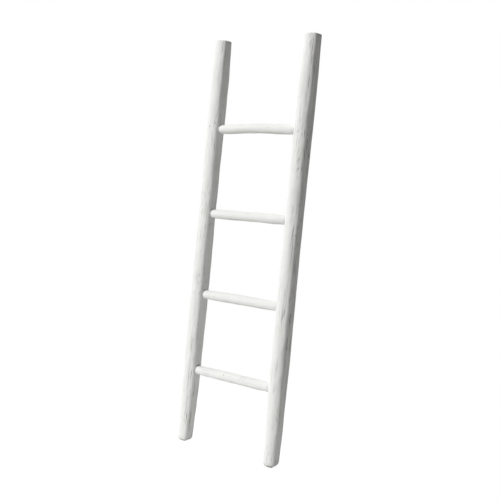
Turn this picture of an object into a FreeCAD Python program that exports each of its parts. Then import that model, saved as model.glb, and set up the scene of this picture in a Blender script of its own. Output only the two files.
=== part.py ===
import FreeCAD, Part
import math
import os
import Sketcher

# A decorative ladder that leans on a wall: two rails sawn from round poles, four round rungs glued into
# blind mortises in the rails, and one nail through each tenon.
# Frame: +X to the right along the rungs, +Y back to the wall, +Z up, floor at Z 0, origin in the middle of
# the floor space that the leaning ladder covers.
# Each piece is modelled upright in its own frame, and its Placement leans it back with the others.

# Driving dimensions, in millimetres and degrees.
SIZES = {
    # the whole ladder
    "lean": 9.2,
    "rail_spacing": 395.0,
    # along the rail: floor to lowest rung, rung to rung, highest rung to the top of the rail
    "foot_gap": 273.0,
    "lower_gap": 285.0,
    "middle_gap": 300.0,
    "upper_gap": 315.0,
    "top_overhang": 327.0,
    # a rail's cross-section: flat sides, and a front and back that stay round
    "rail_width": 55.0,
    "rail_depth": 56.0,
    "crown_radius": 46.0,
    "corner_radius": 8.5,
    # the hand finish of a rail: how far the crown and the depth wander, over what length, and where most
    "crown_change": 2.0,
    "unevenness": 0.9,
    "wave_length": 760.0,
    "left_wave_height": 560.0,
    "right_wave_height": 440.0,
    # a rail's ends: how much each face draws in there, and over what length
    "foot_taper": 2.4,
    "foot_taper_length": 230.0,
    "foot_corner_radius": 12.0,
    "foot_rounding": 9.0,
    "top_taper": 1.8,
    "top_taper_length": 140.0,
    "top_bevel": 4.0,
    # a rung
    "rung_diameter": 35.0,
    "rung_unevenness": 0.4,
    "rung_setback": -2.5,
    "neck_length": 70.0,
    "neck_diameter": 32.5,
    "shoulder_length": 10.0,
    "top_rung_bow": 4.5,
    "other_rung_bow": 0.8,
    # the joint of a rung and a rail
    "tenon_diameter": 20.0,
    "mortise_wall": 12.0,
    "glue_gap": 0.15,
    # the headless square nail through each tenon
    "nail_side": 2.0,
    "nail_length": 40.0,
    "nail_tip_length": 4.0,
    "nail_tip_side": 0.5,
    "nail_sink": 1.0,
    "nail_rise": 6.0,
    "nail_outset": 6.0,
    "nail_gap": 0.1,
}

# Heights along the rail, worked out from the gaps.
HEIGHT_BOTTOM = "(Sizes.foot_gap)"
HEIGHT_LOWER = "(Sizes.foot_gap + Sizes.lower_gap)"
HEIGHT_UPPER = "(Sizes.foot_gap + Sizes.lower_gap + Sizes.middle_gap)"
HEIGHT_TOP = f"({HEIGHT_UPPER} + Sizes.upper_gap)"
RAIL_LENGTH = f"({HEIGHT_TOP} + Sizes.top_overhang)"
RUNGS = {
    "rung_bottom": (HEIGHT_BOTTOM, "Sizes.other_rung_bow"),
    "rung_lower": (HEIGHT_LOWER, "Sizes.other_rung_bow"),
    "rung_upper": (HEIGHT_UPPER, "Sizes.other_rung_bow"),
    "rung_top": (HEIGHT_TOP, "Sizes.top_rung_bow"),
}

# Sizes that follow from the driving ones.
LEAN = "(Sizes.lean * 1 deg)"
HALF_SPACING = "(Sizes.rail_spacing / 2)"
HALF_WIDTH = "(Sizes.rail_width / 2)"
HALF_DEPTH = "(Sizes.rail_depth / 2)"
HALF_SPAN = f"({HALF_SPACING} - {HALF_WIDTH})"
SHOULDER = "((Sizes.neck_diameter - Sizes.tenon_diameter) / 2)"
NECK_END = f"({HALF_SPAN} - Sizes.shoulder_length)"
FOOT_STOCK = "(Sizes.rail_depth * tan(Sizes.lean * 1 deg))"
MORTISE_DEPTH = "(Sizes.rail_width - Sizes.mortise_wall)"
MORTISE_RADIUS = "(Sizes.tenon_diameter / 2 + Sizes.glue_gap)"
TENON_LENGTH = f"({MORTISE_DEPTH} - Sizes.glue_gap)"
NAIL_TOP = f"({HALF_DEPTH} - Sizes.nail_sink)"
NAIL_ACROSS = f"({HALF_SPACING} + Sizes.nail_outset)"
NAIL_HOLE_HALF = "(Sizes.nail_side / 2 + Sizes.nail_gap)"

# The side of a rail that its mortises are in: +X on the left rail, -X on the right rail.
INNER_SIDE = {"rail_left": 1, "rail_right": -1}
WAVE_HEIGHT = {"rail_left": "Sizes.left_wave_height", "rail_right": "Sizes.right_wave_height"}
# Cross-sections along a rail: in the foot's taper, between the tapers, and in the top's taper.
FOOT_STEPS = 3
MIDDLE_STEPS = 8
TOP_STEPS = 2
TAPER_EASE = 1.3
# Cross-sections in a rung's neck and in its rounded shoulder, and how far its uneven finish turns, in
# radians, from one cross-section to the next.
NECK_STEPS = 2
SHOULDER_STEPS = 2
RUNG_WAVE_STEP = 2.0

UP = FreeCAD.Vector(0, 0, 1)
# How a sketch numbers the points of a line or an arc, and its own axes, which go down from -1.
SKETCH_POINTS = ["edge", "start", "end", "centre"]
SKETCH_AXES = ["horizontal", "vertical"]
START = SKETCH_POINTS.index("start")
END = SKETCH_POINTS.index("end")
CENTRE = SKETCH_POINTS.index("centre")
ORIGIN = (-1 - SKETCH_AXES.index("horizontal"), START)
VERTICAL_AXIS = -1 - SKETCH_AXES.index("vertical")

doc = FreeCAD.newDocument("decorative_ladder")
sheet = doc.addObject("Spreadsheet::Sheet", "Sizes")


def add_size(row, alias, value):
    """Writes one named size to the sheet."""
    sheet.set(f"A{row}", alias)
    sheet.set(f"B{row}", str(value))
    sheet.setAlias(f"B{row}", alias)


for row, (alias, value) in enumerate(SIZES.items(), start=1):
    add_size(row, alias, value)
# The middle of the covered floor space behind the feet, measured once the pieces are there.
CENTRE_ROW = len(SIZES) + 1
add_size(CENTRE_ROW, "covered_middle", 0.0)
doc.recompute()


def value_of(expression):
    """What an expression of the sheet comes to, for a sketch's first guess."""
    return float(sheet.evalExpression(expression))


def sketch_on(body, name, plane, offset="0"):
    """A sketch on one of the body's own origin planes, moved along that plane's normal."""
    sketch = body.newObject("Sketcher::SketchObject", name)
    support = next(f for f in body.Origin.OriginFeatures if f.Role == plane)
    sketch.AttachmentSupport = [(support, "")]
    sketch.MapMode = "FlatFace"
    sketch.setExpression("AttachmentOffset.Base.z", offset)
    return sketch


def drive(sketch, name, expression, kind, *elements):
    """Adds a dimension to a sketch and binds it to an expression of the sheet."""
    index = sketch.addConstraint(Sketcher.Constraint(kind, *elements, value_of(expression)))
    sketch.renameConstraint(index, name)
    sketch.setExpression(f"Constraints.{name}", expression)


def add_circle(sketch, name, across, up, radius):
    """A circle in a sketch, with its centre and radius bound to the sheet."""
    centre = FreeCAD.Vector(value_of(across), value_of(up), 0)
    circle = sketch.addGeometry(Part.Circle(centre, UP, value_of(radius)))
    drive(sketch, f"{name}_across", across, "DistanceX", *ORIGIN, circle, CENTRE)
    drive(sketch, f"{name}_up", up, "DistanceY", *ORIGIN, circle, CENTRE)
    drive(sketch, f"{name}_radius", radius, "Radius", circle)


def add_outline(sketch, name, corners):
    """A closed outline of straight lines, with each corner bound to the sheet."""
    points = [FreeCAD.Vector(value_of(across), value_of(up), 0) for across, up in corners]
    following = points[1:] + points[:1]
    lines = sketch.addGeometry([Part.LineSegment(a, b) for a, b in zip(points, following)])
    for line, next_line in zip(lines, lines[1:] + lines[:1]):
        sketch.addConstraint(Sketcher.Constraint("Coincident", line, END, next_line, START))
    for i, (line, (across, up)) in enumerate(zip(lines, corners)):
        drive(sketch, f"{name}_across_{i}", across, "DistanceX", *ORIGIN, line, START)
        drive(sketch, f"{name}_up_{i}", up, "DistanceY", *ORIGIN, line, START)


def add_nail_hole(sketch, name, across, height):
    """The square outline of a nail hole in a sketch that faces the ladder's front."""
    low = f"{height} - {NAIL_HOLE_HALF}"
    high = f"{height} + {NAIL_HOLE_HALF}"
    left = f"{across} - {NAIL_HOLE_HALF}"
    right = f"{across} + {NAIL_HOLE_HALF}"
    add_outline(sketch, name, [(left, low), (right, low), (right, high), (left, high)])


def pocket(body, sketch, name, length=None, reverse=False, symmetric=False):
    """Cuts a sketch into the body, through everything where no length is given."""
    before = body.Tip.Shape.Volume
    cut = body.newObject("PartDesign::Pocket", name)
    cut.Profile = sketch
    cut.Reversed = reverse
    if symmetric:
        cut.SideType = "Symmetric"
    if length is None:
        cut.Type = "ThroughAll"
    else:
        cut.setExpression("Length", length)
    doc.recompute()
    if cut.Shape.Volume >= before:
        raise RuntimeError(f"{body.Label}: {name} cuts nothing")


def place(body, across, back, up):
    """Puts a body at a point of the upright ladder, and leans it back with the ladder."""
    body.Placement = FreeCAD.Placement(FreeCAD.Vector(), FreeCAD.Rotation(FreeCAD.Vector(-1, 0, 0), 1))
    body.setExpression("Placement.Rotation.Angle", LEAN)
    body.setExpression("Placement.Base.x", across)
    body.setExpression(
        "Placement.Base.y", f"{back} * cos({LEAN}) + {up} * sin({LEAN}) - Sizes.covered_middle"
    )
    body.setExpression("Placement.Base.z", f"{up} * cos({LEAN}) - {back} * sin({LEAN})")


def rail_section(body, name, height, draw_in, corner, wave):
    """A rail's cross-section: two sawn flats, a crowned front and back, and eased corners.

    draw_in is how much each face lies inside its place on the middle of the rail, and wave comes to -1 to 1,
    how far the hand-finished front and back wander there.
    """
    half_width = f"({HALF_WIDTH} - {draw_in})"
    crown = f"(Sizes.crown_radius + Sizes.crown_change * {wave})"
    depth = f"({HALF_DEPTH} - {draw_in} + Sizes.unevenness * {wave})"
    sketch = sketch_on(body, name, "XY_Plane", height)
    w, r, big_r, d = (value_of(e) for e in (half_width, corner, crown, depth))
    crown_y = big_r - d
    rise = math.sqrt((big_r - r) ** 2 - (w - r) ** 2)
    corner_y = rise - crown_y
    turn = math.atan2(rise, w - r)

    def arc(x, y, radius, begin, end):
        return Part.ArcOfCircle(Part.Circle(FreeCAD.Vector(x, y, 0), UP, radius), begin, end)

    def flat(x, y_begin, y_end):
        return Part.LineSegment(FreeCAD.Vector(x, y_begin, 0), FreeCAD.Vector(x, y_end, 0))

    half_turn = math.pi
    outline = [
        flat(w, -corner_y, corner_y),
        arc(w - r, corner_y, r, 0, turn),
        arc(0, -crown_y, big_r, turn, half_turn - turn),
        arc(r - w, corner_y, r, half_turn - turn, half_turn),
        flat(-w, corner_y, -corner_y),
        arc(r - w, -corner_y, r, half_turn, half_turn + turn),
        arc(0, crown_y, big_r, half_turn + turn, 2 * half_turn - turn),
        arc(w - r, -corner_y, r, 2 * half_turn - turn, 2 * half_turn),
    ]
    right, first_corner, back, left, front = 0, 1, 2, 4, 6
    other_corners = (3, 5, 7)
    sketch.addGeometry(outline)
    for i in range(len(outline)):
        sketch.addConstraint(Sketcher.Constraint("Tangent", i, END, (i + 1) % len(outline), START))
    for side in (right, left):
        sketch.addConstraint(Sketcher.Constraint("Vertical", side))
    for face in (back, front):
        sketch.addConstraint(Sketcher.Constraint("PointOnObject", face, CENTRE, VERTICAL_AXIS))
    for other_corner in other_corners:
        sketch.addConstraint(Sketcher.Constraint("Equal", first_corner, other_corner))
    drive(sketch, "right_half", half_width, "DistanceX", *ORIGIN, right, START)
    drive(sketch, "left_half", half_width, "DistanceX", left, START, *ORIGIN)
    drive(sketch, "corner", corner, "Radius", first_corner)
    drive(sketch, "back_crown", crown, "Radius", back)
    drive(sketch, "front_crown", crown, "Radius", front)
    drive(sketch, "back_centre", f"{crown} - {depth}", "DistanceY", back, CENTRE, *ORIGIN)
    drive(sketch, "front_centre", f"{crown} - {depth}", "DistanceY", *ORIGIN, front, CENTRE)
    return sketch


def rail_stations():
    """Where a rail's cross-sections lie: height, how far the faces draw in, and the corner radius."""
    stations = [(f"-{FOOT_STOCK}", "Sizes.foot_taper", "Sizes.foot_corner_radius")]
    for step in range(1, FOOT_STEPS):
        share = (1 - step / FOOT_STEPS) ** TAPER_EASE
        corner = f"Sizes.corner_radius + (Sizes.foot_corner_radius - Sizes.corner_radius) * {share:.4f}"
        height = f"Sizes.foot_taper_length * {step} / {FOOT_STEPS}"
        stations.append((height, f"Sizes.foot_taper * {share:.4f}", corner))
    top_start = f"({RAIL_LENGTH} - Sizes.top_taper_length)"
    for step in range(MIDDLE_STEPS + 1):
        middle = f"({top_start} - Sizes.foot_taper_length) * {step} / {MIDDLE_STEPS}"
        stations.append((f"Sizes.foot_taper_length + {middle}", "0", "Sizes.corner_radius"))
    for step in range(1, TOP_STEPS + 1):
        share = (step / TOP_STEPS) ** TAPER_EASE
        height = f"{top_start} + Sizes.top_taper_length * {step} / {TOP_STEPS}"
        stations.append((height, f"Sizes.top_taper * {share:.4f}", "Sizes.corner_radius"))
    return stations


def end_face(shape, lowest):
    """The name of the flat face at the foot or at the top of a rail."""
    flats = [i for i, face in enumerate(shape.Faces) if isinstance(face.Surface, Part.Plane)]
    heights = {i: shape.Faces[i].CenterOfMass.z for i in flats}
    chosen = (min if lowest else max)(heights, key=heights.get)
    return f"Face{chosen + 1}"


def ease_end(body, name, lowest, kind, size_property, size):
    """Rounds or bevels the edges of a rail's foot or top."""
    base = body.Tip
    easing = body.newObject(f"PartDesign::{kind}", name)
    easing.Base = (base, [end_face(base.Shape, lowest)])
    easing.setExpression(size_property, size)
    doc.recompute()


def make_rail(label):
    """A rail: a lofted pole with a level foot, eased ends, four mortises and four nail holes."""
    body = doc.addObject("PartDesign::Body", label)
    sections = []
    for i, (height, draw_in, corner) in enumerate(rail_stations()):
        wave = f"cos(360 deg * ({height} - {WAVE_HEIGHT[label]}) / Sizes.wave_length)"
        sections.append(rail_section(body, f"{label}_section_{i}", height, draw_in, corner, wave))
    doc.recompute()
    pole = body.newObject("PartDesign::AdditiveLoft", f"{label}_pole")
    pole.Profile = sections[0]
    pole.Sections = sections[1:]
    pole.Ruled = True
    doc.recompute()

    # the foot is cut level with the floor while the rail leans
    below = sketch_on(body, f"{label}_below_floor", "YZ_Plane")
    reach = "Sizes.rail_depth"
    slope = f"tan({LEAN})"
    depth_below = f"-2 * {FOOT_STOCK}"
    add_outline(below, "floor", [
        (f"-{reach}", f"-{reach} * {slope}"),
        (f"-{reach}", depth_below),
        (reach, depth_below),
        (reach, f"{reach} * {slope}"),
    ])
    pocket(body, below, f"{label}_foot_cut", symmetric=True)
    ease_end(body, f"{label}_foot_rounding", True, "Fillet", "Radius", "Sizes.foot_rounding")
    ease_end(body, f"{label}_top_bevel", False, "Chamfer", "Size", "Sizes.top_bevel")

    inner = INNER_SIDE[label]
    mortise_end = f"{inner} * ({HALF_WIDTH} - {MORTISE_DEPTH})"
    mortises = sketch_on(body, f"{label}_mortise_circles", "YZ_Plane", mortise_end)
    nail_holes = sketch_on(body, f"{label}_nail_squares", "XZ_Plane", "Sizes.rail_depth")
    for name, (height, _) in RUNGS.items():
        add_circle(mortises, name, "Sizes.rung_setback", height, MORTISE_RADIUS)
        add_nail_hole(nail_holes, name, f"{-inner} * Sizes.nail_outset", f"({height} + Sizes.nail_rise)")
    pocket(body, mortises, f"{label}_mortises", reverse=inner > 0)
    to_nail_end = f"Sizes.rail_depth - {NAIL_TOP} + Sizes.nail_length + Sizes.nail_gap"
    pocket(body, nail_holes, f"{label}_nail_holes", to_nail_end)
    place(body, f"{-inner} * {HALF_SPACING}", "0", "0")
    return body


def rung_stations():
    """Where a rung's cross-sections lie on its right half: distance along, swell and draw-in.

    The swell goes from 0 at the neck to 1 at full thickness, and the draw-in is how far the rounded shoulder
    lies inside the neck.
    """
    stations = [("0", 1.0, "0"), (f"({NECK_END} - Sizes.neck_length) / 2", 1.0, "0")]
    for step in range(NECK_STEPS + 1):
        swell = math.sin(math.pi / 2 * (1 - step / NECK_STEPS))
        stations.append((f"{NECK_END} - Sizes.neck_length * (1 - {step} / {NECK_STEPS})", swell, "0"))
    for step in range(1, SHOULDER_STEPS + 1):
        turn = math.pi / 2 * step / SHOULDER_STEPS
        along = f"{NECK_END} + Sizes.shoulder_length * {math.sin(turn):.4f}"
        stations.append((along, 0.0, f"{SHOULDER} * {1 - math.cos(turn):.4f}"))
    return stations


def make_rung(label, phase):
    """A rung: a round stick with a neck, a rounded shoulder and a round tenon at each end."""
    height, bow = RUNGS[label]
    body = doc.addObject("PartDesign::Body", label)
    right_half = rung_stations()
    left_half = [(f"-({along})", swell, draw_in) for along, swell, draw_in in reversed(right_half[1:])]
    sections = []
    for i, (along, swell, draw_in) in enumerate(left_half + right_half):
        wave = swell * math.sin(RUNG_WAVE_STEP * i + phase)
        radius = (
            f"Sizes.neck_diameter / 2 + (Sizes.rung_diameter - Sizes.neck_diameter) / 2 * {swell:.4f}"
            f" + Sizes.rung_unevenness * {wave:.3f} - {draw_in}"
        )
        rise = f"{bow} * cos(90 deg * ({along}) / {HALF_SPAN}) ^ 2"
        section = sketch_on(body, f"{label}_section_{i}", "YZ_Plane", along)
        add_circle(section, "stick", "0", rise, radius)
        sections.append(section)
    doc.recompute()
    stick = body.newObject("PartDesign::AdditiveLoft", f"{label}_stick")
    stick.Profile = sections[0]
    stick.Sections = sections[1:]
    stick.Ruled = True
    doc.recompute()

    for side, end in ((1, "right"), (-1, "left")):
        circle = sketch_on(body, f"{label}_{end}_circle", "YZ_Plane", f"{side} * {HALF_SPAN}")
        add_circle(circle, "tenon", "0", "0", "Sizes.tenon_diameter / 2")
        tenon = body.newObject("PartDesign::Pad", f"{label}_{end}_tenon")
        tenon.Profile = circle
        tenon.Reversed = side < 0
        tenon.setExpression("Length", TENON_LENGTH)
        doc.recompute()

    holes = sketch_on(body, f"{label}_nail_squares", "XZ_Plane")
    for side, end in ((1, "right"), (-1, "left")):
        add_nail_hole(holes, end, f"{side} * {NAIL_ACROSS}", "Sizes.nail_rise")
    pocket(body, holes, f"{label}_nail_holes", symmetric=True)
    place(body, "0", "Sizes.rung_setback", height)
    return body


def make_nail(label, across, height):
    """A headless square nail with a chisel tip, driven from the rail's front along +Y."""
    body = doc.addObject("PartDesign::Body", label)
    profile = sketch_on(body, f"{label}_profile", "XY_Plane")
    half_side = "Sizes.nail_side / 2"
    half_tip = "Sizes.nail_tip_side / 2"
    tip_start = "Sizes.nail_length - Sizes.nail_tip_length"
    add_outline(profile, "nail", [
        (f"-{half_side}", "0"),
        (half_side, "0"),
        (half_side, tip_start),
        (half_tip, "Sizes.nail_length"),
        (f"-{half_tip}", "Sizes.nail_length"),
        (f"-{half_side}", tip_start),
    ])
    shank = body.newObject("PartDesign::Pad", f"{label}_shank")
    shank.Profile = profile
    shank.SideType = "Symmetric"
    shank.setExpression("Length", "Sizes.nail_side")
    place(body, across, f"-{NAIL_TOP}", f"({height} + Sizes.nail_rise)")
    return body


rails = [make_rail(label) for label in INNER_SIDE]
rungs = [make_rung(label, phase) for phase, label in enumerate(RUNGS)]
nail_bodies = []
for rung, (height, _) in RUNGS.items():
    for rail, inner in INNER_SIDE.items():
        nail_bodies.append(make_nail(f"nail_{rung}_{rail}", f"{-inner} * {NAIL_ACROSS}", height))
nails = doc.addObject("Part::Compound", "nails")
nails.Links = nail_bodies
doc.recompute()

# The origin goes to the middle of the covered floor space.
boxes = [rail.Shape.optimalBoundingBox() for rail in rails]
front_edge = min(box.YMin for box in boxes)
back_edge = max(box.YMax for box in boxes)
sheet.set(f"B{CENTRE_ROW}", str((front_edge + back_edge) / 2))
doc.recompute()

failed = [item.Name for item in doc.Objects if {"Invalid", "Error"} & set(item.State)]
if failed:
    raise RuntimeError(f"these did not build: {failed}")
nodes = rails + rungs + [nails]
for node in nodes:
    if node.Shape.isNull() or not node.Shape.isValid():
        raise RuntimeError(f"{node.Label} has no valid shape")
os.makedirs("parts", exist_ok=True)
for node in nodes:
    node.Shape.exportStep(f"parts/{node.Label}.step")
    box = node.Shape.optimalBoundingBox()
    corners = [round(v, 1) for v in (box.XMin, box.YMin, box.ZMin, box.XMax, box.YMax, box.ZMax)]
    print(node.Label, len(node.Shape.Solids), "solids", round(node.Shape.Volume), "mm3", corners)
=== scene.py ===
import math
from collections import namedtuple

import bpy
import numpy as np
from mathutils import Euler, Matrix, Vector


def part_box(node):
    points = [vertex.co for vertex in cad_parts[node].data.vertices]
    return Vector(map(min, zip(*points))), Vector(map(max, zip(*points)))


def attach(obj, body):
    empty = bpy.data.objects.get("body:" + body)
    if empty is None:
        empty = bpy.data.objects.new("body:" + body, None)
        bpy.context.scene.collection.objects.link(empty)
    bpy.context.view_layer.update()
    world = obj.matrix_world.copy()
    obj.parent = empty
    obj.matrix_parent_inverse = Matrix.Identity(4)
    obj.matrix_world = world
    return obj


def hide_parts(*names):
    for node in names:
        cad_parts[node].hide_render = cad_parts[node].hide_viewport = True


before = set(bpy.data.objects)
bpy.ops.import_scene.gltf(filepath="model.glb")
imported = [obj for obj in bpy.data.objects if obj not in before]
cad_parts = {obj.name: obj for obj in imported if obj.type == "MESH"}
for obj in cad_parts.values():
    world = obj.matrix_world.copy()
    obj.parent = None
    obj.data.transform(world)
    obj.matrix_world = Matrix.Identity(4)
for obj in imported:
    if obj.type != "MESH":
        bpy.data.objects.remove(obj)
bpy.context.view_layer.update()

# The looks of a whitewashed decorative ladder that leans on a wall.
# Lengths are in metres. A piece is shaped in the upright ladder's frame, with X across, Y back and Z up
# along the rails, and is then leaned back to where its CAD node stands.

# Sizes that repeat the solids.
LEAN = math.radians(9.2)
RAIL_LENGTH = 1.5
RAIL_DEPTH = 0.056
CROWN_RADIUS = 0.046
CROWN_CHANGE = 0.002
CORNER_RADIUS = 0.0085
UNEVENNESS = 0.0009
WAVE_LENGTH = 0.76
WAVE_HEIGHT = {"rail_left": 0.56, "rail_right": 0.44}
FOOT_TAPER_LENGTH = 0.23
TOP_TAPER = 0.0018
TOP_TAPER_LENGTH = 0.14
TAPER_EASE = 1.3
RUNG_HEIGHT = {"rung_bottom": 0.273, "rung_lower": 0.558, "rung_upper": 0.858, "rung_top": 1.173}
RUNG_BOW = {"rung_bottom": 0.0008, "rung_lower": 0.0008, "rung_upper": 0.0008, "rung_top": 0.0045}
RUNG_SETBACK = -0.0025
RUNG_RADIUS = 0.0175
NECK_RADIUS = 0.01625
NECK_LENGTH = 0.07
SHOULDER_LENGTH = 0.01
TENON_RADIUS = 0.01
NAIL_RISE = 0.006
NAIL_OUTSET = 0.006
# The side of a rail that its rungs are on: +X on the left rail, -X on the right rail.
INNER_SIDE = {"rail_left": 1, "rail_right": -1}

# Where the photographed ladder, made by hand, departs a little from the solids.
# Its feet are thinner, rounder underneath and sharper at their edges, and stand a little to the left.
FOOT_TAPER = {"rail_left": 0.0046, "rail_right": 0.0028}
FOOT_CORNER_RADIUS = {"rail_left": 0.006, "rail_right": 0.010}
LEAST_CORNER_RADIUS = CORNER_RADIUS / 2
FOOT_ROUNDING = {"rail_left": 0.013, "rail_right": 0.020}
FOOT_SHIFT = {"rail_left": -0.0045, "rail_right": -0.001}
FOOT_SHIFT_LENGTH = 0.15
# Its tops are rounded, not bevelled, and sawn by hand, a little higher on their left and back.
TOP_ROUNDING = 0.0045
TOP_LIFT = {"rail_left": 0.0008, "rail_right": 0.0018}
TOP_SLANT = 0.06
TOP_RISE = 0.07
TOP_BACK_TAPER = {"rail_left": 0.17, "rail_right": 0.0}
# Its poles are turned a little about their lengths up to near the top, and the right one bows.
RAIL_TURN = {"rail_left": math.radians(-6.5), "rail_right": math.radians(-1.5)}
TURN_RUN_OUT = 0.35
RAIL_BOW = {"rail_left": 0.0, "rail_right": 0.003}
BOW_HEIGHT = 0.85
# Its rungs sit a little lower.
RUNG_DROP = {"rung_bottom": 0.0022, "rung_lower": 0.0028, "rung_upper": 0.0008, "rung_top": 0.002}

# Sizes that follow from the frame and from those above.
rail_low, rail_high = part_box("rail_left")
rung_low, rung_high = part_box("rung_bottom")
RAIL_WIDTH = rail_high.x - rail_low.x
RAIL_ACROSS = {name: (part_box(name)[0].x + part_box(name)[1].x) / 2 for name in INNER_SIDE}
HALF_SPAN = RAIL_ACROSS["rail_right"] - RAIL_WIDTH / 2
TENON_REACH = rung_high.x
RUNG_Y = (rung_low.y + rung_high.y) / 2
FOOT_Y = RUNG_Y - RUNG_SETBACK * math.cos(LEAN) - RUNG_HEIGHT["rung_bottom"] * math.sin(LEAN)
SHOULDER = NECK_RADIUS - TENON_RADIUS
NECK_END = HALF_SPAN - SHOULDER_LENGTH
RAIL_GIRTH = 2 * (RAIL_WIDTH + RAIL_DEPTH)
RUNG_GIRTH = 2 * math.pi * RUNG_RADIUS

# How finely the pieces are meshed. The rails are finer near the rungs.
RAIL_AROUND = 180
RAIL_STEP = 0.0044
JOINT_STEP = 0.0013
JOINT_REACH = 0.024
RUNG_AROUND = 84
RUNG_STEP = 0.0018
ROUND_STEPS = 6
CAP_STEPS = 7


def lean_back(points):
    """Turns points of the upright ladder into points of the row frame."""
    across, back, up = np.moveaxis(np.asarray(points), -1, 0)
    y = back * math.cos(LEAN) + up * math.sin(LEAN) + FOOT_Y
    z = up * math.cos(LEAN) - back * math.sin(LEAN)
    return np.stack([across, y, z], axis=-1)


def turned(flat_points, angle):
    """Points of a plane, turned about its origin."""
    x, y = flat_points[:, 0], flat_points[:, 1]
    turned_x = x * math.cos(angle) - y * math.sin(angle)
    turned_y = x * math.sin(angle) + y * math.cos(angle)
    return np.stack([turned_x, turned_y], -1)


def rail_section(half_width, half_depth, crown, corner):
    """Points and outward directions round a rail: two flats, a crowned front and back, and eased corners.

    The points lie evenly, from the middle of the front towards +X.
    """
    rise = math.sqrt((crown - corner) ** 2 - (half_width - corner) ** 2)
    corner_y = rise - (crown - half_depth)
    lie = math.pi / 2 - math.atan2(rise, half_width - corner)
    crown_run = crown * lie
    corner_run = corner * (math.pi / 2 - lie)
    quarter = crown_run + corner_run + corner_y
    run = np.arange(RAIL_AROUND) / RAIL_AROUND * 4 * quarter
    # every other quarter of the ring runs backwards, because it mirrors the one before it
    part = (run // quarter).astype(int)
    run = np.where(part % 2 == 0, run % quarter, quarter - run % quarter)
    on_crown = run < crown_run
    on_corner = run < crown_run + corner_run
    turn = np.where(on_crown, run / crown, lie + (run - crown_run) / corner)
    turn = np.where(on_corner, turn, math.pi / 2)
    radius = np.where(on_crown, crown, corner)
    x = np.where(on_crown, 0, half_width - corner) + radius * np.sin(turn)
    y = np.where(on_crown, crown - half_depth, -corner_y) - radius * np.cos(turn)
    y = np.where(on_corner, y, run - crown_run - corner_run - corner_y)
    side = np.where(part < 2, 1, -1)
    back = np.where((part == 1) | (part == 2), -1, 1)
    return np.stack([x * side, y * back], -1), np.stack([np.sin(turn) * side, -np.cos(turn) * back], -1)


def taper_at(name, height):
    """How far a rail's faces draw in at a height, and its corner radius there."""
    foot = max(0.0, 1 - height / FOOT_TAPER_LENGTH) ** TAPER_EASE
    top = max(0.0, (height - RAIL_LENGTH) / TOP_TAPER_LENGTH + 1) ** TAPER_EASE
    corner = CORNER_RADIUS + (FOOT_CORNER_RADIUS[name] - CORNER_RADIUS) * foot
    return FOOT_TAPER[name] * foot + TOP_TAPER * top, corner


def rail_levels(name):
    """Heights of a rail's rings with how far each is set in by the rounding of the foot or the top."""
    quarter_turn = np.linspace(0, math.pi / 2, ROUND_STEPS)
    rounding = FOOT_ROUNDING[name]
    levels = [(rounding * (1 - math.cos(t)), rounding * (1 - math.sin(t))) for t in quarter_turn]
    below_top = RAIL_LENGTH - TOP_ROUNDING
    stops = [rounding]
    for rung_height in RUNG_HEIGHT.values():
        stops += [rung_height - JOINT_REACH, rung_height + JOINT_REACH]
    stops.append(below_top)
    for i, (start, end) in enumerate(zip(stops, stops[1:])):
        step = JOINT_STEP if i % 2 else RAIL_STEP
        heights = np.linspace(start, end, round((end - start) / step), endpoint=False)
        levels += [(height, 0.0) for height in heights if height > rounding]
    for t in quarter_turn:
        levels.append((below_top + TOP_ROUNDING * math.sin(t), TOP_ROUNDING * (1 - math.cos(t))))
    return levels


def rail_rings(name, wobble):
    """A rail's rings of points and outward directions, upright and about the rail's own axis.

    wobble is each ring's own small turn.
    """
    points, outward = [], []
    for (height, inset), small_turn in zip(rail_levels(name), wobble):
        draw_in, corner = taper_at(name, height)
        wave = math.cos(2 * math.pi * (height - WAVE_HEIGHT[name]) / WAVE_LENGTH)
        half_depth = RAIL_DEPTH / 2 - draw_in + UNEVENNESS * wave - inset
        half_width = RAIL_WIDTH / 2 - draw_in - inset
        crown = CROWN_RADIUS + CROWN_CHANGE * wave - inset
        corner = max(corner - inset, LEAST_CORNER_RADIUS)
        ring, direction = rail_section(half_width, half_depth, crown, corner)
        turn = RAIL_TURN[name] * min(1.0, (RAIL_LENGTH - height) / TURN_RUN_OUT) + small_turn
        ring, direction = turned(ring, turn), turned(direction, turn)
        # the foot is cut level with the floor, and the top at a slant
        near_foot = max(0.0, 1 - height / FOOT_TAPER_LENGTH)
        near_top = max(0.0, 1 - (RAIL_LENGTH - height) / TOP_TAPER_LENGTH)
        ring[:, 1] -= TOP_BACK_TAPER[name] * near_top * np.maximum(ring[:, 1], 0)
        foot_cut = near_foot ** 2 * ring[:, 1] * math.tan(LEAN)
        top_cut = near_top ** 2 * (TOP_LIFT[name] + TOP_RISE * ring[:, 1] - TOP_SLANT * ring[:, 0])
        points.append(np.column_stack([ring, height + foot_cut + top_cut]))
        outward.append(np.column_stack([direction, np.zeros(RAIL_AROUND)]))
    return np.array(points), np.array(outward)


def rail_stray(name, up):
    """How far a rail strays to the right at a height: the bow of its pole and the shift of its foot."""
    bow = RAIL_BOW[name] * ((up - BOW_HEIGHT) / (RAIL_LENGTH / 2)) ** 2
    foot_shift = FOOT_SHIFT[name] * np.clip(1 - up / FOOT_SHIFT_LENGTH, 0, 1) ** 2
    return bow + foot_shift


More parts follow.
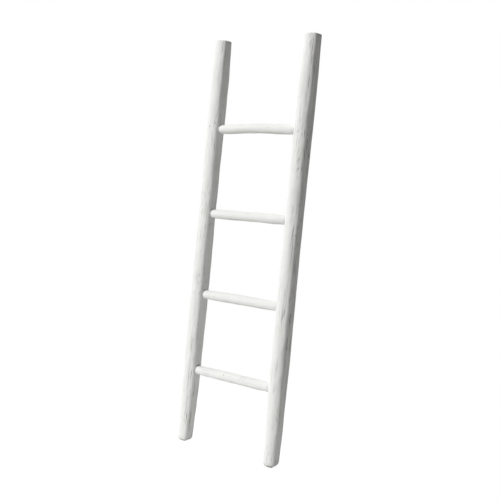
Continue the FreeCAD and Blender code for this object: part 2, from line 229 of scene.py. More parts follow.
def rung_rings(name):
    """A rung's rings of points and outward directions, along X and about the rung's own axis."""
    quarter_turn = np.linspace(0, math.pi / 2, ROUND_STEPS)
    straight = np.linspace(-NECK_END, NECK_END, round(2 * NECK_END / RUNG_STEP))
    swell = np.sin(math.pi / 2 * np.clip((NECK_END - np.abs(straight)) / NECK_LENGTH, 0, 1))
    along = [straight]
    radius = [NECK_RADIUS + (RUNG_RADIUS - NECK_RADIUS) * swell]
    for side in (-1, 1):
        end = side * (NECK_END + SHOULDER_LENGTH * np.sin(quarter_turn[1:]))
        end_radius = NECK_RADIUS - SHOULDER * (1 - np.cos(quarter_turn[1:]))
        tenon = side * np.linspace(HALF_SPAN + RUNG_STEP, TENON_REACH, ROUND_STEPS)
        along = along + [end, tenon]
        radius = radius + [end_radius, np.full(ROUND_STEPS, TENON_RADIUS)]
    along = np.concatenate(along)
    radius = np.concatenate(radius)
    order = np.argsort(along)
    along, radius = along[order], radius[order]
    inside = np.abs(along) < HALF_SPAN
    rise = np.where(inside, RUNG_BOW[name] * np.cos(math.pi / 2 * along / HALF_SPAN) ** 2, 0)
    turn = np.arange(RUNG_AROUND) / RUNG_AROUND * 2 * math.pi
    # the turn starts at the front and goes up, over the top and down the back
    outward = np.stack([np.zeros(RUNG_AROUND), -np.cos(turn), np.sin(turn)], -1)
    outward = np.broadcast_to(outward, (len(along), RUNG_AROUND, 3))
    points = outward * radius[:, None, None]
    points = points + np.stack([along, np.zeros_like(along), rise], -1)[:, None, :]
    return points, outward


# The hand finish: smooth waves, and strokes where the wash is rubbed off along the grain.
# A ripple has waves that go round the piece most_turns times at most. Its size is in metres for a finish,
# in radians for a wobble, and a share of the wear for patches.
Ripple = namedtuple("Ripple", "waves most_turns lengths size")
TURN_WOBBLE = Ripple(6, 0, (0.1, 0.45), math.radians(1.3))
RAIL_FINISH = Ripple(24, 3, (0.07, 0.4), 0.00035)
RAIL_PATCHES = Ripple(14, 2, (0.15, 0.9), 0.4)
RUNG_FINISH = Ripple(20, 2, (0.05, 0.25), 0.00028)
RUNG_PATCHES = Ripple(12, 2, (0.08, 0.5), 0.5)
# How much wear a piece has on average, which its patches add to or take from.
RAIL_PATCH_MEAN = 0.6
RUNG_PATCH_MEAN = 0.4
# Strokes have half lengths and half widths in metres, and drift around by slant metres per metre along.
Strokes = namedtuple("Strokes", "number lengths widths slant")
LONG_STROKES = Strokes(380, (0.012, 0.055), (0.0008, 0.0018), 0.0)
SHORT_STROKES = Strokes(420, (0.004, 0.012), (0.0010, 0.0018), 0.0)
RUNG_STROKES = Strokes(50, (0.008, 0.03), (0.0007, 0.0013), 0.0)
SCRATCHES = Strokes(130, (0.006, 0.014), (0.0010, 0.0016), 0.65)
STROKE_STRENGTHS = (0.15, 1.0)
STROKE_BEND = 3
RAIL_STROKE_DEPTH = 0.00022
RUNG_STROKE_DEPTH = 0.0002
RUNG_STROKE_GREY = 0.7


def ripple(rng, around, along, kind):
    """A smooth uneven field over a grid of places around (0 to 1) and along (metres).

    It spreads about 0 by the kind's size, however many waves it has.
    """
    field = np.zeros((len(along), len(around)))
    for _ in range(kind.waves):
        turns = rng.integers(-kind.most_turns, kind.most_turns + 1)
        length = rng.uniform(*kind.lengths)
        phase = rng.uniform(0, 2 * math.pi)
        field += np.cos(2 * math.pi * (turns * around[None, :] + along[:, None] / length) + phase)
    return kind.size * field / math.sqrt(kind.waves / 2)


def streaks(rng, around, along, girth, kind):
    """A field of thin strokes, each 0 at its border and up to 1 in its middle."""
    field = np.zeros((len(along), len(around)))
    for _ in range(kind.number):
        middle = rng.uniform(along[0], along[-1])
        place = rng.uniform(0, 1)
        length = rng.uniform(*kind.lengths)
        width = rng.uniform(*kind.widths)
        drift = rng.uniform(-1, 1) * width
        strength = rng.uniform(*STROKE_STRENGTHS)
        rows = np.abs(along - middle) < length
        offset = (along[rows] - middle) / length
        shift = drift * np.sin(STROKE_BEND * offset) + kind.slant * length * offset
        gap = around[None, :] - place - shift[:, None] / girth
        # the shorter way round
        gap = (gap + 0.5) % 1 - 0.5
        stroke = np.exp(-(gap * girth / width) ** 2) * (1 - offset[:, None] ** 2) ** 2
        field[rows] = np.maximum(field[rows], strength * stroke)
    return field


def closed_mesh(name, rings, first_cap, last_cap):
    """A closed mesh of rings of points, with each end closed by smaller rings about a middle point."""
    def cap(ring, middle):
        return [middle + (ring - middle) * (1 - step / CAP_STEPS) for step in range(1, CAP_STEPS)]

    rings = list(rings)
    rings = cap(rings[0], first_cap)[::-1] + rings + cap(rings[-1], last_cap)
    count, around = len(rings), len(rings[0])
    vertices = np.concatenate(rings + [first_cap[None, :], last_cap[None, :]])
    row = np.arange(count - 1)[:, None] * around
    here = np.arange(around)[None, :]
    following = (here + 1) % around
    quads = np.stack([row + here, row + following, row + around + following, row + around + here], -1)
    faces = quads.reshape(-1, 4).tolist()
    first, last = count * around, count * around + 1
    end = (count - 1) * around
    for i in range(around):
        after = (i + 1) % around
        faces.append((first, after, i))
        faces.append((last, end + i, end + after))
    mesh = bpy.data.meshes.new(name)
    mesh.from_pydata(vertices.tolist(), [], faces)
    mesh.validate()
    mesh.shade_smooth()
    return mesh


def upright_mesh(name, points):
    """The closed mesh of an upright piece's rings, leaned back to its place."""
    first_middle = points[0].mean(axis=0)
    last_middle = points[-1].mean(axis=0)
    return closed_mesh(name, lean_back(points), lean_back(first_middle), lean_back(last_middle))


def paint(mesh, name, values):
    """Keeps a number per ring point on the mesh, for the material. End caps take their ring's mean."""
    head = np.full((CAP_STEPS - 1) * values.shape[1], values[0].mean())
    tail = np.full((CAP_STEPS - 1) * values.shape[1], values[-1].mean())
    middles = [values[0].mean(), values[-1].mean()]
    layer = mesh.attributes.new(name, "FLOAT", "POINT")
    numbers = np.concatenate([head, values.ravel(), tail, middles])
    layer.data.foreach_set("value", numbers.astype(np.float32))


def add_piece(name, mesh, node, material):
    """Puts a mesh into the scene as the piece that stands for a CAD node."""
    mesh.materials.append(material)
    piece = bpy.data.objects.new(name, mesh)
    bpy.context.scene.collection.objects.link(piece)
    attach(piece, "root")
    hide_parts(node)


# The rails' wear and painted shade.
# Where a rail faces right, away from the lamps, its wash is painted as rubbed, which is painted shade.
# There is more rubbed wear along the front's right edge and on the outer side. Facing is the part of a
# surface's outward direction that goes along an axis.
LEAST_RUB_AND_SHADE = 0.12
SHADE_RUB_START = -0.6
SHADE_RUB_RUN = 0.65
EDGE_RUB = 0.7
EDGE_FACING = 0.5
EDGE_SPREAD = 0.25
OUTER_RUB = 0.8
# painted shade: the wash is painted thinner up the outer side, darker towards the top
OUTER_PAINTED_SHADE = 0.28
# Over a rung's end the mortise's mouth is dished in a little and painted dark, as painted shade in the gap
# above the rung.
MOUTH_RADIUS = 0.0198
MOUTH_EDGE = 0.002
MOUTH_DEPTH = 0.0012
MOUTH_SHADE_GREY = 0.85
MOUTH_HALF_WIDTH = 0.0105
MOUTH_SETBACK = 0.0035
MOUTH_FACING = 0.5
# Painted shade darkens the rim under the foot, most where the rim looks RIM_TURN to the right of the front,
# away from the lamps, and the sides of the top's rim. RIM_START and RIM_FULL are shares of the foot's
# rounding.
RIM_START = 0.03
RIM_FULL = 0.13
RIM_TURN = math.radians(30)
RIM_LEAST = 0.15
TOP_RIM = 0.012
TOP_RIM_SHADE_GREY = 0.75
# One nail shows in its dent. The wash covers the others.
OPEN_NAIL = ("rail_left", "rung_top")
DENT_RADIUS = 0.003
DENT_DEPTH = 0.0013
COVER_RADIUS = 3 * DENT_RADIUS
COVER_HEIGHT = 0.0011

# Marks of the photographed ladder. A mark's place is across on the front, and back on the right side.
FRONT = "front"
RIGHT = "right"
MARK_FACING = 0.3
Mark = namedtuple("Mark", "face place height half_length half_width depth grey")
RAIL_MARKS = {
    "rail_left": [
        Mark(RIGHT, -0.0165, 1.430, 0.070, 0.0035, 0.0003, 0.35),
        Mark(RIGHT, -0.0080, 0.183, 0.016, 0.0014, 0.0010, 1.0),
        Mark(RIGHT, -0.0105, 0.085, 0.024, 0.0018, 0.0013, 1.0),
        Mark(RIGHT, -0.0060, 0.050, 0.010, 0.0014, 0.0008, 0.8),
        Mark(FRONT, 0.0080, 0.228, 0.060, 0.0018, 0.0004, 0.5),
        Mark(FRONT, 0.0062, 0.378, 0.050, 0.0022, 0.0004, 0.4),
        Mark(FRONT, 0.0100, 0.140, 0.040, 0.0016, 0.0004, 0.5),
    ],
    "rail_right": [
        Mark(FRONT, 0.0115, 1.458, 0.018, 0.0022, 0.0005, 0.7),
        Mark(FRONT, 0.0205, 1.405, 0.018, 0.0022, 0.0005, 0.6),
        Mark(FRONT, 0.0195, 1.330, 0.026, 0.0016, 0.0006, 0.8),
        Mark(FRONT, 0.0175, 1.275, 0.030, 0.0016, 0.0006, 0.8),
        Mark(FRONT, 0.0104, 1.060, 0.008, 0.0020, 0.0006, 0.7),
        Mark(FRONT, 0.0215, 0.910, 0.050, 0.0016, 0.0005, 0.6),
        Mark(FRONT, 0.0205, 0.756, 0.060, 0.0018, 0.0005, 0.6),
        Mark(FRONT, 0.0175, 0.590, 0.070, 0.0018, 0.0005, 0.5),
        Mark(FRONT, 0.0065, 0.050, 0.008, 0.0014, 0.0006, 0.7),
        Mark(RIGHT, -0.0045, 1.180, 0.004, 0.0024, 0.0006, 0.6),
        Mark(RIGHT, -0.0130, 0.836, 0.008, 0.0020, 0.0008, 1.0),
        Mark(RIGHT, -0.0085, 0.695, 0.022, 0.0016, 0.0008, 1.0),
    ],
}


def rail_rub_and_shade(name, outward):
    """How much the wash of a rail is rubbed, with painted shade where it faces right, away from the lamps.
    """
    facing_right = outward[..., 0]
    rub_and_shade = LEAST_RUB_AND_SHADE + (1 - LEAST_RUB_AND_SHADE) * np.clip((facing_right - SHADE_RUB_START) / SHADE_RUB_RUN, 0, 1)
    front_edge = np.exp(-((facing_right - EDGE_FACING) / EDGE_SPREAD) ** 2) * (outward[..., 1] < 0)
    outer = np.clip(-INNER_SIDE[name] * facing_right, 0, 1) ** 2
    return rub_and_shade + EDGE_RUB * front_edge + OUTER_RUB * outer


def rail_painted_shade(name, outward, along):
    """How much painted shade thins a rail's wash: it grows up the outer side, darker towards the top."""
    outer = np.clip(-INNER_SIDE[name] * outward[..., 0], 0, 1) ** 2
    return OUTER_PAINTED_SHADE * outer * (along[:, None] / RAIL_LENGTH) ** 2


def stroke_at(points, outward, face, place, height, half_length, half_width):
    """How strongly a stroke along the grain marks a rail's points: 1 in its middle, 0 away from it."""
    if face == FRONT:
        across, facing = points[..., 0], -outward[..., 1]
    else:
        across, facing = points[..., 1], outward[..., 0]
    gap = (across - place) / half_width
    reach = (points[..., 2] - height) / half_length
    return np.where(facing > MARK_FACING, np.exp(-gap ** 2 - reach ** 4), 0)


def shaded_joint_mouth(points, outward, inner, rung_height):
    """How strongly the dished mouth of a mortise and its painted shade show over a rung's end: 1 at the
    rung, 0 away from it.
    """
    back = points[..., 1] - RUNG_SETBACK
    up = points[..., 2] - rung_height
    mouth = np.clip((MOUTH_RADIUS - np.hypot(back, up)) / MOUTH_EDGE, 0, 1)
    mouth = mouth * np.exp(-((back - MOUTH_SETBACK) / MOUTH_HALF_WIDTH) ** 4)
    return np.where(inner * outward[..., 0] > MOUTH_FACING, mouth * np.clip(up / MOUTH_EDGE, 0, 1), 0)


def shaded_rims(name, points, outward, insets):
    """How much painted shade darkens the rim under the foot and the sides of the top."""
    foot = np.clip((insets / FOOT_ROUNDING[name] - RIM_START) / (RIM_FULL - RIM_START), 0, 1)[:, None]
    foot = np.where(points[..., 2] < RAIL_LENGTH / 2, foot, 0)
    facing = outward[..., 0] * math.sin(RIM_TURN) - outward[..., 1] * math.cos(RIM_TURN)
    foot = foot * (RIM_LEAST + (1 - RIM_LEAST) * np.clip(facing, 0, 1))
    top = np.clip(1 - (RAIL_LENGTH - points[..., 2]) / TOP_RIM, 0, 1) * outward[..., 0] ** 2
    return np.maximum(foot, TOP_RIM_SHADE_GREY * top)


def add_marks(name, points, outward, inward, wear_and_shade):
    """Adds a rail's marks to how far inward its surface lies and to its wear."""
    for mark in RAIL_MARKS[name]:
        shape = (mark.face, mark.place, mark.height, mark.half_length, mark.half_width)
        strength = stroke_at(points, outward, *shape)
        inward = inward + mark.depth * strength
        wear_and_shade = np.maximum(wear_and_shade, mark.grey * strength)
    return inward, wear_and_shade


def add_joints(name, points, outward, inward, wear_and_shade):
    """Adds the nails, open or covered, and the mortises' mouths with their painted shade to a rail's
    surface and to its wear and shade.
    """
    inner = INNER_SIDE[name]
    for rung, rung_height in RUNG_HEIGHT.items():
        nail = (FRONT, -inner * NAIL_OUTSET, rung_height + NAIL_RISE)
        if (name, rung) == OPEN_NAIL:
            dent = stroke_at(points, outward, *nail, DENT_RADIUS, DENT_RADIUS)
            inward = inward + DENT_DEPTH * dent
            wear_and_shade = np.maximum(wear_and_shade, dent)
        else:
            cover = stroke_at(points, outward, *nail, COVER_RADIUS, COVER_RADIUS)
            inward = inward - (np.maximum(inward, 0) + COVER_HEIGHT) * cover
        # the mortise's mouth is dished in, and painted dark as painted shade above the rung's end
        mouth = shaded_joint_mouth(points, outward, inner, rung_height - RUNG_DROP[rung])
        inward = inward + MOUTH_DEPTH * mouth
        wear_and_shade = np.maximum(wear_and_shade, MOUTH_SHADE_GREY * mouth)
    return inward, wear_and_shade


def make_rail(name, seed, material):
    """A rail's visual piece: the pole with its hand finish, grain where the wash is rubbed, marks, joints
    and painted shade.
    """
    rng = np.random.default_rng(seed)
    heights, insets = np.array(rail_levels(name)).T
    wobble = ripple(rng, np.zeros(1), heights, TURN_WOBBLE)[:, 0]
    points, outward = rail_rings(name, wobble)
    around = np.arange(RAIL_AROUND) / RAIL_AROUND
    along = points[:, 0, 2]
    hand_finish = ripple(rng, around, along, RAIL_FINISH)
    patches = np.clip(RAIL_PATCH_MEAN + ripple(rng, around, along, RAIL_PATCHES), 0, 1)
    wear_and_shade = streaks(rng, around, along, RAIL_GIRTH, LONG_STROKES)
    wear_and_shade = np.maximum(wear_and_shade, streaks(rng, around, along, RAIL_GIRTH, SHORT_STROKES))
    # painted shade: the wash is painted more rubbed where the rail faces right, away from the lamps
    rub_and_shade = rail_rub_and_shade(name, outward)
    wear_and_shade = np.minimum(wear_and_shade * patches * rub_and_shade, 1)
    inward = RAIL_STROKE_DEPTH * wear_and_shade - hand_finish
    inward, wear_and_shade = add_marks(name, points, outward, inward, wear_and_shade)
    inward, wear_and_shade = add_joints(name, points, outward, inward, wear_and_shade)
    # painted shade on the rim under the foot and on the sides of the top
    wear_and_shade = np.maximum(wear_and_shade, shaded_rims(name, points, outward, insets))
    points = points - outward * inward[..., None]
    points[..., 0] += RAIL_ACROSS[name] + rail_stray(name, points[..., 2])
    mesh = upright_mesh(name, points)
    paint(mesh, "wear_and_shade", wear_and_shade)
    paint(mesh, "rub_and_shade", rub_and_shade)
    # painted shade, laid on as a thinner wash
    paint(mesh, "painted_shade", rail_painted_shade(name, outward, along))
    add_piece(f"{name}_wood", mesh, name, material)


# The rungs' wear and painted shade. Painted shade thins the wash on their undersides, from where they face
# down by the start below.
RUNG_RUB = 0.25
UNDERSIDE_SHADE_START = 0.45
# The lowest rung is scratched across its grain, to the right of its middle.
SCRATCHED_RUNG = "rung_bottom"
SCRATCH_MIDDLE = 0.027
SCRATCH_REACH = 0.04
SCRATCH_GREY = 0.75
# Knots of the photographed rungs, each a dark heart in a hollow with a raised ring round it. A knot's place
# is along the rung, and its turn goes up from the front, in radians.
Knot = namedtuple("Knot", "place turn size grey")
RUNG_KNOTS = {
    "rung_bottom": [Knot(-0.030, 0.4, 0.0017, 1.0)],
    "rung_lower": [Knot(-0.110, -0.05, 0.0014, 0.9)],
    "rung_upper": [],
    "rung_top": [Knot(0.06, 0.1, 0.0014, 0.6)],
}
KNOT_STRETCH = 1.6
KNOT_EDGE = 0.45
KNOT_HOLLOW = 0.0004
KNOT_RING_HEIGHT = 0.0003
KNOT_RING_GREY = 0.6


def add_scratches(rng, around, along, wear_and_shade):
    """Adds the scratches of the lowest rung to its wear."""
    scratches = streaks(rng, around, along, RUNG_GIRTH, SCRATCHES)
    scratched = np.exp(-((along - SCRATCH_MIDDLE) / SCRATCH_REACH) ** 4)[:, None]
    return np.maximum(wear_and_shade, SCRATCH_GREY * scratches * scratched)


def add_knots(name, around, along, inward, wear_and_shade):
    """Adds a rung's knots to how far inward its surface lies and to its wear."""
    turn = around * 2 * math.pi
    for knot in RUNG_KNOTS[name]:
        gap = (turn - knot.turn + math.pi) % (2 * math.pi) - math.pi
        gap_along = (along[:, None] - knot.place) / (KNOT_STRETCH * knot.size)
        spread = np.hypot(gap_along, gap[None, :] * RUNG_RADIUS / knot.size)
        ring = np.exp(-((spread - 1) / KNOT_EDGE) ** 2)
        heart = np.exp(-(spread / KNOT_EDGE) ** 2)
        inward = inward + KNOT_HOLLOW * heart - KNOT_RING_HEIGHT * ring
        wear_and_shade = np.maximum(wear_and_shade, knot.grey * np.maximum(KNOT_RING_GREY * ring, heart))
    return inward, wear_and_shade


def make_rung(name, seed, material):
    """A rung's visual piece: the round stick with its hand finish, grain where the wash is rubbed, knots
    and the painted shade of its underside.
    """
    rng = np.random.default_rng(seed)
    points, outward = rung_rings(name)
    around = np.arange(RUNG_AROUND) / RUNG_AROUND
    along = points[:, 0, 0]
    fade = np.clip((NECK_END - np.abs(along)) / SHOULDER_LENGTH, 0, 1)[:, None]
    hand_finish = ripple(rng, around, along, RUNG_FINISH) * fade
    patches = np.clip(RUNG_PATCH_MEAN + ripple(rng, around, along, RUNG_PATCHES), 0, 1)
    wear_and_shade = RUNG_STROKE_GREY * streaks(rng, around, along, RUNG_GIRTH, RUNG_STROKES) * patches * fade
    if name == SCRATCHED_RUNG:
        wear_and_shade = add_scratches(rng, around, along, wear_and_shade)
    inward = RUNG_STROKE_DEPTH * wear_and_shade - hand_finish
    inward, wear_and_shade = add_knots(name, around, along, inward, wear_and_shade)
    points = points - outward * inward[..., None]
    points = points + np.array([0, RUNG_SETBACK, RUNG_HEIGHT[name] - RUNG_DROP[name]])
    # painted shade under the rung: a thinner wash on its underside
    underside_shade = np.clip((-outward[..., 2] - UNDERSIDE_SHADE_START) / (1 - UNDERSIDE_SHADE_START), 0, 1)
    mesh = upright_mesh(name, points)
    paint(mesh, "wear_and_shade", wear_and_shade)
    paint(mesh, "rub_and_shade", np.full_like(wear_and_shade, RUNG_RUB))
    paint(mesh, "painted_shade", underside_shade)
    add_piece(f"{name}_wood", mesh, name, material)


# Materials.
# A noise's value lies between 0 and 1. A ramp turns one range of a value into another.
Noise = namedtuple("Noise", "scale detail roughness")
Ramp = namedtuple("Ramp", "low_in high_in low_out high_out")
# The colour sockets of a mix node.
MIX_FIRST, MIX_SECOND, MIX_RESULT = 6, 7, 2

# Whitewashed wood.
RAIL_WASH = (0.872, 0.874, 0.853)
# the rungs' wash is the rails' wash painted lighter, as painted light
RUNG_LIT_WASH = (0.92, 0.922, 0.90)
# the thin wash and the two wood greys below are also the colours of the painted shade
THIN_WASH_AND_SHADE = (0.70, 0.70, 0.655)
GREY_WOOD_AND_SHADE = (0.36, 0.353, 0.308)
DEEP_GRAIN_AND_SHADE = (0.16, 0.155, 0.135)
GRAIN_SQUEEZE = 0.06
FIBRE = Noise(620, 3, 0.55)
BAND = Noise(130, 2, 0.55)
CLOUD = Noise(22, 3, 0.55)
FLECK = Noise(260, 4, 0.7)
FIBRE_LINES = Ramp(0.56, 0.74, 0, 1)
CLOUD_RUB = Ramp(0.45, 0.70, 0.04, 0.3)
FLECK_GREY = Ramp(0.60, 0.76, 0, 0.55)
STREAK_GREY = Ramp(0.30, 0.62, 0.55, 1.0)
BAND_THINNING = Ramp(0.35, 0.75, 0, 0.4)
STREAKY_SHADE = Ramp(0.35, 0.65, 0.4, 1.6)
DEEP_WEAR_AND_SHADE = Ramp(0.6, 1.0, 0, 1)
WOOD_ROUGHNESS = Ramp(0.3, 0.7, 0.58, 0.74)
WOOD_SPECULAR = 0.35
GRAIN_BUMP = 0.35
GRAIN_BUMP_HEIGHT = 0.0004

# Nail steel.
DARK_STEEL = (0.09, 0.085, 0.08)
BARE_STEEL = (0.2, 0.19, 0.18)
SPOTS = Noise(900, 3, 0.55)
SPOT_COLOUR = Ramp(0.35, 0.65, 0, 1)
SPOT_ROUGHNESS = Ramp(0.3, 0.7, 0.45, 0.7)
STEEL_METALLIC = 0.85


def new_material(name):
    """A new material with its node tree and its shader node."""
    material = bpy.data.materials.new(name)
    material.use_nodes = True
    tree = material.node_tree
    return material, tree, tree.nodes["Principled BSDF"]


def object_place(tree):
    """Where a point of the surface is, in metres."""
    return tree.nodes.new("ShaderNodeTexCoord").outputs["Object"]


def noise(tree, place, kind):
    """A noise texture's value at a place."""
    texture = tree.nodes.new("ShaderNodeTexNoise")
    texture.inputs["Scale"].default_value = kind.scale
    texture.inputs["Detail"].default_value = kind.detail
    texture.inputs["Roughness"].default_value = kind.roughness
    tree.links.new(place, texture.inputs["Vector"])
    return texture.outputs["Fac"]


def remap(tree, value, ramp):
    """Maps a value smoothly from one range to another."""
    node = tree.nodes.new("ShaderNodeMapRange")
    node.interpolation_type = "SMOOTHSTEP"
    for socket, number in zip(("From Min", "From Max", "To Min", "To Max"), ramp):
        node.inputs[socket].default_value = number
    tree.links.new(value, node.inputs["Value"])
    return node.outputs["Result"]


def maths(tree, operation, first, second):
    """Joins two values, or a value and a number."""
    node = tree.nodes.new("ShaderNodeMath")
    node.operation = operation
    tree.links.new(first, node.inputs[0])
    if isinstance(second, (int, float)):
        node.inputs[1].default_value = second
    else:
        tree.links.new(second, node.inputs[1])
    return node.outputs["Value"]


def mix_colours(tree, factor, first, second):
    """Mixes two colours by a factor. Each is a colour or a socket."""
    node = tree.nodes.new("ShaderNodeMix")
    node.data_type = "RGBA"
    tree.links.new(factor, node.inputs["Factor"])
    for socket, colour in ((node.inputs[MIX_FIRST], first), (node.inputs[MIX_SECOND], second)):
        if isinstance(colour, tuple):
            socket.default_value = (*colour, 1)
        else:
            tree.links.new(colour, socket)
    return node.outputs[MIX_RESULT]


def painted_value(tree, name):
    """A number that was painted on the mesh."""
    node = tree.nodes.new("ShaderNodeAttribute")
    node.attribute_name = name
    return node.outputs["Fac"]


def drawn_along_grain(tree, place, squeeze):
    """A place of the leaning ladder, made upright, and squeezed along the grain to draw a noise out."""
    upright = tree.nodes.new("ShaderNodeMapping")
    upright.inputs["Rotation"].default_value = (LEAN, 0, 0)
    tree.links.new(place, upright.inputs["Vector"])
    drawn = tree.nodes.new("ShaderNodeMapping")
    drawn.inputs["Scale"].default_value = squeeze
    tree.links.new(upright.outputs["Vector"], drawn.inputs["Vector"])
    return drawn.outputs["Vector"]


def whitewash(name, squeeze, wash_colour):
    """Whitewashed wood: a chalky white wash with grey wood that shows through along the grain, and painted
    shade that thins and greys the wash.

    squeeze scales each axis of the upright piece, and wash_colour is the wash where it lies thick.
    """
    material, tree, shader = new_material(name)
    place = object_place(tree)
    grain_place = drawn_along_grain(tree, place, squeeze)
    fibre = noise(tree, grain_place, FIBRE)
    band = noise(tree, grain_place, BAND)
    cloud = noise(tree, place, CLOUD)
    fleck = noise(tree, grain_place, FLECK)
    # the painted value below holds real wear and the painted shade of the mortises' mouths and the rims
    wear_and_shade = painted_value(tree, "wear_and_shade")
    rub_and_shade = painted_value(tree, "rub_and_shade")
    thin = painted_value(tree, "painted_shade")

    # where the wood shows: faint lines all over, flecks where the wash is rubbed and where painted shade
    # lies, and the painted wear and shade
    lines = remap(tree, fibre, FIBRE_LINES)
    faint = maths(tree, "MULTIPLY", lines, remap(tree, cloud, CLOUD_RUB))
    flecks = maths(tree, "MULTIPLY", rub_and_shade, remap(tree, fleck, FLECK_GREY))
    streak = maths(tree, "MULTIPLY", wear_and_shade, remap(tree, band, STREAK_GREY))
    grey = maths(tree, "MAXIMUM", maths(tree, "MAXIMUM", faint, flecks), streak)

    # the wash is thinner in bands where it is rubbed and where painted shade lies, and thinner in streaks
    # under painted shade
    bands = maths(tree, "MULTIPLY", rub_and_shade, remap(tree, band, BAND_THINNING))
    wash = mix_colours(tree, bands, wash_colour, THIN_WASH_AND_SHADE)
    streaky = maths(tree, "MULTIPLY", thin, remap(tree, band, STREAKY_SHADE))
    wash = mix_colours(tree, streaky, wash, THIN_WASH_AND_SHADE)
    wood = mix_colours(tree, remap(tree, wear_and_shade, DEEP_WEAR_AND_SHADE), GREY_WOOD_AND_SHADE, DEEP_GRAIN_AND_SHADE)
    tree.links.new(mix_colours(tree, grey, wash, wood), shader.inputs["Base Color"])

    tree.links.new(remap(tree, fibre, WOOD_ROUGHNESS), shader.inputs["Roughness"])
    shader.inputs["Specular IOR Level"].default_value = WOOD_SPECULAR
    bump = tree.nodes.new("ShaderNodeBump")
    bump.inputs["Strength"].default_value = GRAIN_BUMP
    bump.inputs["Distance"].default_value = GRAIN_BUMP_HEIGHT
    tree.links.new(maths(tree, "SUBTRACT", fleck, lines), bump.inputs["Height"])
    tree.links.new(bump.outputs["Normal"], shader.inputs["Normal"])
    return material


def dull_steel():
    """Darkened nail steel with uneven spots."""
    material, tree, shader = new_material("dull_steel")
    spots = noise(tree, object_place(tree), SPOTS)
    colour = mix_colours(tree, remap(tree, spots, SPOT_COLOUR), DARK_STEEL, BARE_STEEL)
    tree.links.new(colour, shader.inputs["Base Color"])
    tree.links.new(remap(tree, spots, SPOT_ROUGHNESS), shader.inputs["Roughness"])
    shader.inputs["Metallic"].default_value = STEEL_METALLIC
    return material


def paint_node(node, material):
    """Gives a CAD node that stays in view its finished material."""
    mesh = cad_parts[node].data
    mesh.materials.clear()
    mesh.materials.append(material)


# The studio.
FLOOR_HALF_SIDE = 1.2
FLOOR_COLOUR = (0.76, 0.76, 0.76)
# What the camera sees of the floor near the feet: a glow, and a dim matt colour that takes the shadow.
# Further away from the feet it turns white, over the distances of its ramp.
FLOOR_GLOW = 0.88
FLOOR_SHADE = (0.3, 0.3, 0.3)
FLOOR_WHITE = Ramp(0.2, 0.9, 0, 1)
WHITE_STRENGTH = 1.0
WORLD_STRENGTH = 0.188
WORLD_COLOUR = (1, 1, 1, 1)
# Square soft lamps that point at the ladder's middle. Azimuth 0 is in front of it and 90 on its right.
# Both angles are in degrees, and power is in watts.
LADDER_MIDDLE = Vector((0, 0, RAIL_LENGTH / 2))
Lamp = namedtuple("Lamp", "azimuth elevation distance size power")
LAMPS = {
    "key": Lamp(-62, 10, 10.0, 5.0, 385),
    "front_fill": Lamp(-20, 20, 10.0, 5.0, 195),
    "rim": Lamp(-120, 25, 10.0, 5.0, 290),
    "overhead": Lamp(-40, 65, 4.0, 2.5, 69),
    "low_fill": Lamp(10, -12, 2.0, 0.5, 5.4),
}
# The photograph's camera.
PHOTO_WIDTH_PIXELS = 500
FOCAL_PIXELS = 800
SENSOR_MILLIMETRES = 36
CAMERA_AZIMUTH = math.radians(37.836)
CAMERA_PITCH = math.radians(8.864)
CAMERA_ACROSS = 1.759
CAMERA_BEFORE_FEET = 2.121
CAMERA_HEIGHT = 1.172


def seen_straight(tree):
    """1 where the camera, a shine or a clear piece looks, and 0 where light only bounces."""
    path = tree.nodes.new("ShaderNodeLightPath")
    seen = maths(tree, "MAXIMUM", path.outputs["Is Camera Ray"], path.outputs["Is Glossy Ray"])
    return maths(tree, "MAXIMUM", seen, path.outputs["Is Transmission Ray"])


def pale_floor():
    """The floor's material: white to the camera, with the object's soft shadow near its feet."""
    material, tree, shader = new_material("floor")
    tree.nodes.remove(shader)
    seen = seen_straight(tree)
    distance = tree.nodes.new("ShaderNodeVectorMath")
    distance.operation = "DISTANCE"
    tree.links.new(object_place(tree), distance.inputs[0])
    distance.inputs[1].default_value = (0, FOOT_Y, 0)
    far = remap(tree, distance.outputs["Value"], FLOOR_WHITE)

    matt = tree.nodes.new("ShaderNodeBsdfDiffuse")
    tree.links.new(mix_colours(tree, seen, FLOOR_COLOUR, FLOOR_SHADE), matt.inputs["Color"])
    glow = tree.nodes.new("ShaderNodeEmission")
    tree.links.new(maths(tree, "MULTIPLY", seen, FLOOR_GLOW), glow.inputs["Strength"])
    lit = tree.nodes.new("ShaderNodeAddShader")
    tree.links.new(matt.outputs["BSDF"], lit.inputs[0])
    tree.links.new(glow.outputs["Emission"], lit.inputs[1])
    white = tree.nodes.new("ShaderNodeEmission")
    white.inputs["Strength"].default_value = WHITE_STRENGTH
    choose = tree.nodes.new("ShaderNodeMixShader")
    tree.links.new(maths(tree, "MULTIPLY", far, seen), choose.inputs["Fac"])
    tree.links.new(lit.outputs["Shader"], choose.inputs[1])
    tree.links.new(white.outputs["Emission"], choose.inputs[2])
    tree.links.new(choose.outputs["Shader"], tree.nodes["Material Output"].inputs["Surface"])
    return material


def make_floor(half):
    """A plain square floor under the ladder, from its middle half a side each way."""
    corners = [(-half, -half, 0), (half, -half, 0), (half, half, 0), (-half, half, 0)]
    mesh = bpy.data.meshes.new("floor")
    mesh.from_pydata(corners, [], [(0, 1, 2, 3)])
    mesh.materials.append(pale_floor())
    floor = bpy.data.objects.new("floor", mesh)
    bpy.context.scene.collection.objects.link(floor)


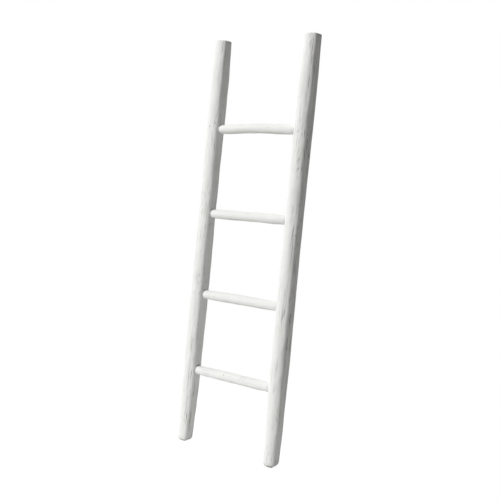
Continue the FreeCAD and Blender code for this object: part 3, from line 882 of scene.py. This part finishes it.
def make_world(strength):
    """A dim even surrounding that the camera, and what shines, sees as white."""
    world = bpy.data.worlds.new("studio")
    bpy.context.scene.world = world
    world.use_nodes = True
    tree = world.node_tree
    brighter = maths(tree, "MULTIPLY", seen_straight(tree), WHITE_STRENGTH - strength)
    background = tree.nodes["Background"]
    background.inputs["Color"].default_value = WORLD_COLOUR
    tree.links.new(maths(tree, "ADD", brighter, strength), background.inputs["Strength"])


def add_lamp(name, kind):
    """A square soft lamp that points at the ladder's middle."""
    lamp = bpy.data.lights.new(name, "AREA")
    lamp.size = kind.size
    lamp.energy = kind.power
    azimuth, elevation = math.radians(kind.azimuth), math.radians(kind.elevation)
    level = math.cos(elevation)
    away = Vector((math.sin(azimuth) * level, -math.cos(azimuth) * level, math.sin(elevation)))
    item = bpy.data.objects.new(name, lamp)
    item.location = LADDER_MIDDLE + kind.distance * away
    item.rotation_euler = away.to_track_quat("Z", "Y").to_euler()
    bpy.context.scene.collection.objects.link(item)


def add_camera():
    """The photograph's view: from the right of the front, a little above the ladder's middle."""
    camera = bpy.data.objects.new("camera", bpy.data.cameras.new("camera"))
    camera.data.sensor_width = SENSOR_MILLIMETRES
    camera.data.lens = FOCAL_PIXELS / PHOTO_WIDTH_PIXELS * SENSOR_MILLIMETRES
    camera.location = (CAMERA_ACROSS, FOOT_Y - CAMERA_BEFORE_FEET, CAMERA_HEIGHT)
    camera.rotation_euler = Euler((math.pi / 2 - CAMERA_PITCH, 0, CAMERA_AZIMUTH))
    bpy.context.scene.collection.objects.link(camera)
    bpy.context.scene.camera = camera


# The first rail's and the first rung's seed. Each next one's is one more.
RAIL_SEED = 11
RUNG_SEED = 31

rail_material = whitewash("whitewashed_rail", (1, 1, GRAIN_SQUEEZE), RAIL_WASH)
# the rungs take the lighter wash, which is painted light
rung_material = whitewash("whitewashed_rung", (GRAIN_SQUEEZE, 1, 1), RUNG_LIT_WASH)
for number, rail in enumerate(INNER_SIDE):
    make_rail(rail, RAIL_SEED + number, rail_material)
for number, rung in enumerate(RUNG_HEIGHT):
    make_rung(rung, RUNG_SEED + number, rung_material)
paint_node("nails", dull_steel())

make_floor(FLOOR_HALF_SIDE)
make_world(WORLD_STRENGTH)
for name, lamp in LAMPS.items():
    add_lamp(name, lamp)
add_camera()
bpy.context.scene.view_settings.view_transform = "Standard"
